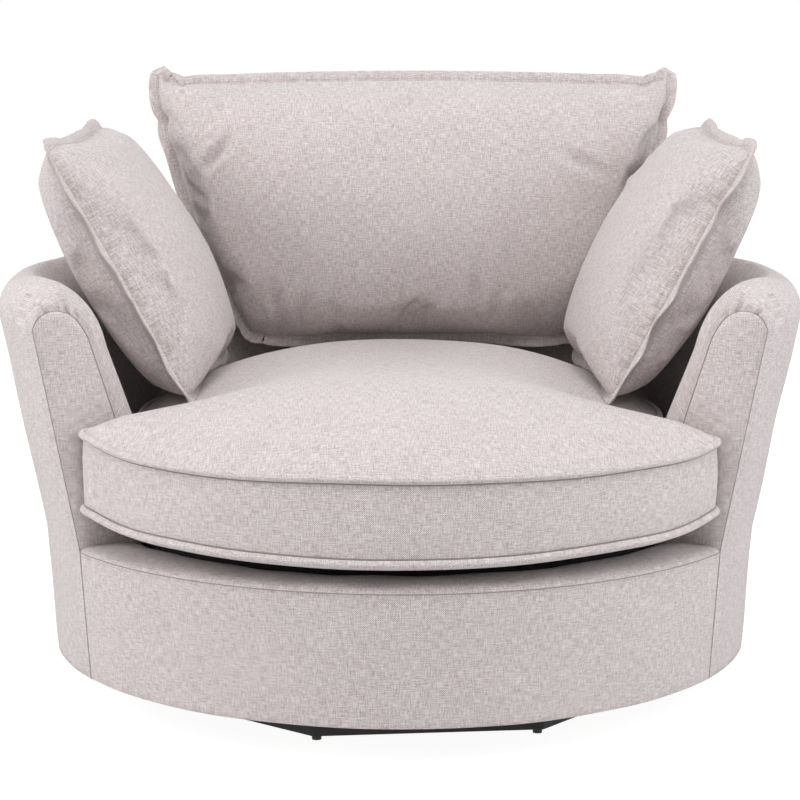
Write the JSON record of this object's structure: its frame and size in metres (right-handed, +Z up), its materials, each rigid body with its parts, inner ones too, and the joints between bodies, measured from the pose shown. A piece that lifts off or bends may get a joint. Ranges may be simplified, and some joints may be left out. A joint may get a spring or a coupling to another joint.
{
  "type": "swivel cuddle chair",
  "caption": "Round upholstered tub chair on a flat swivel base, with a loose piped seat cushion, a flanged back cushion and scatter cushions on its arms.",
  "frame": {"origin": "on the floor, under the swivel axis", "axes": "+Z up along the swivel axis, the sitter faces -Y, +X to the viewer's right from the front"},
  "size_m": [1.1584, 1.0597, 0.8909],
  "materials": {
    "upholstery": "matte",
    "black_cloth": "matte",
    "felt": "matte",
    "foam": "matte",
    "fibre": "matte",
    "timber": "matte",
    "plywood": "matte",
    "black_board": "satin",
    "black_plastic": "matte",
    "zinc_steel": "satin",
    "bright_steel": "polished"
  },
  "bodies": {
    "base": {"swivel_base_board": "black_board", "base_glides": "black_plastic", "turntable_lower_plate": "zinc_steel", "turntable_balls": "bright_steel", "turntable_ball_cage": "bright_steel", "lower_plate_screws": "zinc_steel"},
    "chair": {"turntable_upper_plate": "zinc_steel", "upper_plate_screws": "zinc_steel", "bottom_board": "plywood", "bottom_dust_cover": "black_cloth", "arm_post_left": "timber", "arm_post_right": "timber", "side_post_left": "timber", "side_post_right": "timber", "back_post_left": "timber", "back_post_right": "timber", "top_rail_left": "plywood", "top_rail_right": "plywood", "top_rail_back": "plywood", "front_rail": "plywood", "seat_rail_front": "timber", "seat_rail_back": "timber", "seat_rail_left": "timber", "seat_rail_right": "timber", "seat_frame_legs": "timber", "seat_springs": "bright_steel", "spring_clips": "zinc_steel", "deck_pad": "felt", "deck_cloth": "black_cloth", "inside_arm_left": "upholstery", "inside_arm_right": "upholstery", "inside_back": "upholstery", "outside_arm_left": "upholstery", "outside_arm_right": "upholstery", "outside_back": "upholstery", "arm_facing_left": "upholstery", "arm_facing_right": "upholstery", "front_apron": "upholstery", "rail_top_pad": "upholstery"},
    "seat_cushion": {"seat_cover_bottom": "upholstery", "seat_cover_border": "upholstery", "seat_cover_top": "upholstery", "seat_piping_lower": "upholstery", "seat_piping_upper": "upholstery", "seat_foam": "foam"},
    "back_cushion": {"back_cushion_front_panel": "upholstery", "back_cushion_rear_panel": "upholstery", "back_cushion_filling": "fibre"},
    "scatter_left": {"scatter_left_front_panel": "upholstery", "scatter_left_rear_panel": "upholstery", "scatter_left_filling": "fibre"},
    "scatter_right": {"scatter_right_front_panel": "upholstery", "scatter_right_rear_panel": "upholstery", "scatter_right_filling": "fibre"}
  },
  "joints": [
    {"name": "swivel", "type": "hinge", "parent": "base", "child": "chair", "pos_m": [0, 0, 0.04], "axis": [0, 0, 1], "continuous": true},
    {"name": "seat_cushion_lift", "type": "slide", "parent": "chair", "child": "seat_cushion", "axis": [0, 0, 1], "range_m": [0, 0.25]},
    {"name": "back_cushion_lift", "type": "slide", "parent": "seat_cushion", "child": "back_cushion", "axis": [0, 0, 1], "range_m": [0, 0.25]},
    {"name": "scatter_left_lift", "type": "slide", "parent": "seat_cushion", "child": "scatter_left", "axis": [0, -0.3987, 0.9171], "range_m": [0, 0.25]},
    {"name": "scatter_right_lift", "type": "slide", "parent": "seat_cushion", "child": "scatter_right", "axis": [0, -0.3987, 0.9171], "range_m": [0, 0.25]}
  ]
}
